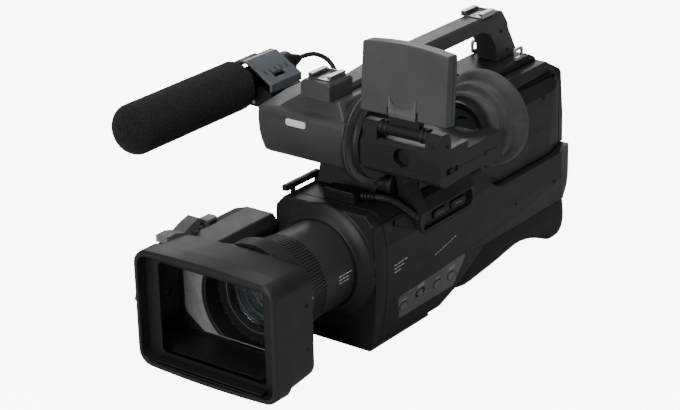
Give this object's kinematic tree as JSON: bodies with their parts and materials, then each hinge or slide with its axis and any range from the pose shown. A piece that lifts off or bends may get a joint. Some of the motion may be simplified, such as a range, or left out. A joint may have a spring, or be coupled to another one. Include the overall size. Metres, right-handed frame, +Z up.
{
  "type": "shoulder camcorder",
  "caption": "Shoulder-mount video camcorder with rectangular lens hood, side viewfinder with tilting display, top handle, side grip and a foam-covered microphone.",
  "frame": {"origin": "mouth of the tripod socket in the underside of the body", "axes": "+Z up, lens looks along -Y, operator's left is +X"},
  "size_m": [0.2342, 0.457, 0.2626],
  "materials": {
    "body_plastic": "fine textured satin black moulding",
    "dark_plastic": "matt black moulding",
    "grey_plastic": "satin dark grey moulding",
    "lcd_plastic": "satin olive grey moulding",
    "gloss_grey": "glossy bluish grey moulding",
    "rubber": "soft matt rubber",
    "foam": "open-cell foam",
    "strap_fabric": "padded strap",
    "bright_metal": "bright brushed sheet metal",
    "cast_metal": "cast alloy",
    "glass": "coated optical glass",
    "screen": "dark display glass",
    "lamp": "milky translucent window",
    "board": "green solder mask",
    "cord_rubber": "flexible cord jacket"
  },
  "bodies": {
    "chassis": {"front_bezel": "body_plastic", "left_side_cover": "body_plastic", "right_side_cover": "body_plastic", "top_deck": "body_plastic", "base_plate": "cast_metal", "shoulder_pad": "rubber", "upper_housing": "body_plastic", "rear_panel": "dark_plastic", "control_panel": "grey_plastic", "neck_housing": "body_plastic", "arm_housing": "body_plastic", "tally_lamp": "lamp", "top_handle": "body_plastic", "handle_base": "body_plastic", "accessory_shoes": "bright_metal", "strap_eyelets": "bright_metal", "main_frame": "cast_metal", "main_board": "board", "tape_mechanism": "cast_metal", "sensor_block": "dark_plastic", "lens_barrel": "dark_plastic", "front_lens": "glass", "hood_shell": "body_plastic", "hood_mask": "dark_plastic", "grip_housing": "body_plastic", "hand_strap": "strap_fabric", "mic_tube": "dark_plastic", "mic_windscreen": "foam", "mic_holder": "dark_plastic", "mic_cord": "cord_rubber", "viewfinder_plug": "dark_plastic", "viewfinder_lead": "cord_rubber"},
    "focus_ring": {"focus_ring": "rubber"},
    "zoom_group": {"zoom_lens_group": "glass"},
    "head_drum": {"head_drum": "cast_metal"},
    "cassette_door": {"cassette_door": "body_plastic"},
    "battery": {"battery_pack": "dark_plastic"},
    "battery_key": {"battery_release": "grey_plastic"},
    "panel_key_front": {"panel_key_front": "grey_plastic"},
    "panel_switch": {"panel_switch": "grey_plastic"},
    "panel_key_middle": {"panel_key_middle": "grey_plastic"},
    "panel_key_rear": {"panel_key_rear": "grey_plastic"},
    "shoulder_key_front": {"shoulder_key_front": "dark_plastic"},
    "shoulder_key_rear": {"shoulder_key_rear": "dark_plastic"},
    "upper_blade": {"upper_cover_blade": "dark_plastic"},
    "lower_blade": {"lower_cover_blade": "dark_plastic"},
    "cover_lever": {"lens_cover_lever": "grey_plastic"},
    "hood_key": {"hood_release": "dark_plastic"},
    "zoom_rocker": {"zoom_rocker": "grey_plastic"},
    "photo_button": {"photo_button": "grey_plastic"},
    "record_button": {"record_button": "grey_plastic"},
    "mode_dial": {"mode_dial": "dark_plastic"},
    "mic_lid": {"mic_holder_lid": "gloss_grey"},
    "viewfinder": {"viewfinder_body": "body_plastic", "eyecup": "rubber", "eyepiece_lens": "glass"},
    "diopter": {"diopter_slider": "dark_plastic"},
    "lcd_hinge": {"lcd_hinge": "dark_plastic"},
    "lcd": {"lcd_panel": "lcd_plastic", "lcd_screen": "screen"}
  },
  "joints": [
    {"name": "focus_turn", "type": "hinge", "parent": "chassis", "child": "focus_ring", "pos_m": [0, -0.107, 0.071], "axis": [0, -1, 0], "continuous": true},
    {"name": "zoom_travel", "type": "slide", "parent": "chassis", "child": "zoom_group", "axis": [0, -1, 0], "range_m": [0, 0.02]},
    {"name": "drum_spin", "type": "hinge", "parent": "chassis", "child": "head_drum", "pos_m": [-0.033, 0.06, 0.068], "axis": [1, 0, 0], "continuous": true},
    {"name": "cassette_door_open", "type": "hinge", "parent": "chassis", "child": "cassette_door", "pos_m": [-0.0495, 0.06, 0.0486], "axis": [0, -1, 0], "range_deg": [0, 60]},
    {"name": "battery_slide", "type": "slide", "parent": "chassis", "child": "battery", "axis": [0, 0, 1], "range_m": [0, 0.02]},
    {"name": "battery_key_press", "type": "slide", "parent": "chassis", "child": "battery_key", "axis": [0, -1, 0], "range_m": [0, 0.0012], "stiffness_N_per_m": 600},
    {"name": "panel_key_front_press", "type": "slide", "parent": "chassis", "child": "panel_key_front", "axis": [-1, 0, 0], "range_m": [0, 0.0008], "stiffness_N_per_m": 600},
    {"name": "panel_switch_slide", "type": "slide", "parent": "chassis", "child": "panel_switch", "axis": [0, 1, 0], "range_m": [-0.0018, 0.0018]},
    {"name": "panel_key_middle_press", "type": "slide", "parent": "chassis", "child": "panel_key_middle", "axis": [-1, 0, 0], "range_m": [0, 0.0008], "stiffness_N_per_m": 600},
    {"name": "panel_key_rear_press", "type": "slide", "parent": "chassis", "child": "panel_key_rear", "axis": [-1, 0, 0], "range_m": [0, 0.0008], "stiffness_N_per_m": 600},
    {"name": "shoulder_key_front_press", "type": "slide", "parent": "chassis", "child": "shoulder_key_front", "axis": [-1, 0, 0], "range_m": [0, 0.001], "stiffness_N_per_m": 600},
    {"name": "shoulder_key_rear_press", "type": "slide", "parent": "chassis", "child": "shoulder_key_rear", "axis": [-1, 0, 0], "range_m": [0, 0.001], "stiffness_N_per_m": 600},
    {"name": "cover_lever_turn", "type": "hinge", "parent": "chassis", "child": "cover_lever", "pos_m": [-0.071, -0.168, 0.071], "axis": [1, 0, 0], "range_deg": [0, 45]},
    {"name": "upper_blade_swing", "type": "hinge", "parent": "chassis", "child": "upper_blade", "pos_m": [0, -0.1535, 0.1075], "axis": [1, 0, 0], "range_deg": [0, 90]},
    {"name": "lower_blade_swing", "type": "hinge", "parent": "chassis", "child": "lower_blade", "pos_m": [0, -0.1535, 0.0345], "axis": [-1, 0, 0], "range_deg": [0, 90]},
    {"name": "hood_key_press", "type": "slide", "parent": "chassis", "child": "hood_key", "axis": [1, 0, 0], "range_m": [0, 0.001], "stiffness_N_per_m": 600},
    {"name": "zoom_rock", "type": "hinge", "parent": "chassis", "child": "zoom_rocker", "pos_m": [-0.087, -0.126, 0.099], "axis": [1, 0, 0], "range_deg": [-6, 6], "stiffness_Nm_per_rad": 0.6},
    {"name": "photo_press", "type": "slide", "parent": "chassis", "child": "photo_button", "axis": [0, 0, -1], "range_m": [0, 0.0015], "stiffness_N_per_m": 600},
    {"name": "record_press", "type": "slide", "parent": "chassis", "child": "record_button", "axis": [0, -1, 0], "range_m": [0, 0.0015], "stiffness_N_per_m": 600},
    {"name": "mode_turn", "type": "hinge", "parent": "chassis", "child": "mode_dial", "pos_m": [-0.086, -0.055, 0.072], "axis": [0, 1, 0], "range_deg": [-30, 60]},
    {"name": "mic_lid_open", "type": "hinge", "parent": "chassis", "child": "mic_lid", "pos_m": [-0.11, -0.009, 0.206], "axis": [0, -1, 0], "range_deg": [0, 80]},
    {"name": "viewfinder_tilt", "type": "hinge", "parent": "chassis", "child": "viewfinder", "pos_m": [0.03, -0.018, 0.172], "axis": [1, 0, 0], "range_deg": [0, 60]},
    {"name": "diopter_slide", "type": "slide", "parent": "viewfinder", "child": "diopter", "axis": [0, 1, 0], "range_m": [0, 0.005]},
    {"name": "lcd_tilt", "type": "hinge", "parent": "viewfinder", "child": "lcd_hinge", "pos_m": [0.077, -0.045, 0.194], "axis": [1, 0, 0], "range_deg": [-85, 15]},
    {"name": "lcd_swivel", "type": "hinge", "parent": "lcd_hinge", "child": "lcd", "pos_m": [0.077, -0.045, 0.194], "axis": [0, 0.0872, 0.9962], "range_deg": [0, 180]}
  ],
  "couplings": [
    {"joint": "upper_blade_swing", "follows": "cover_lever_turn", "ratio": 2},
    {"joint": "lower_blade_swing", "follows": "cover_lever_turn", "ratio": 2}
  ]
}
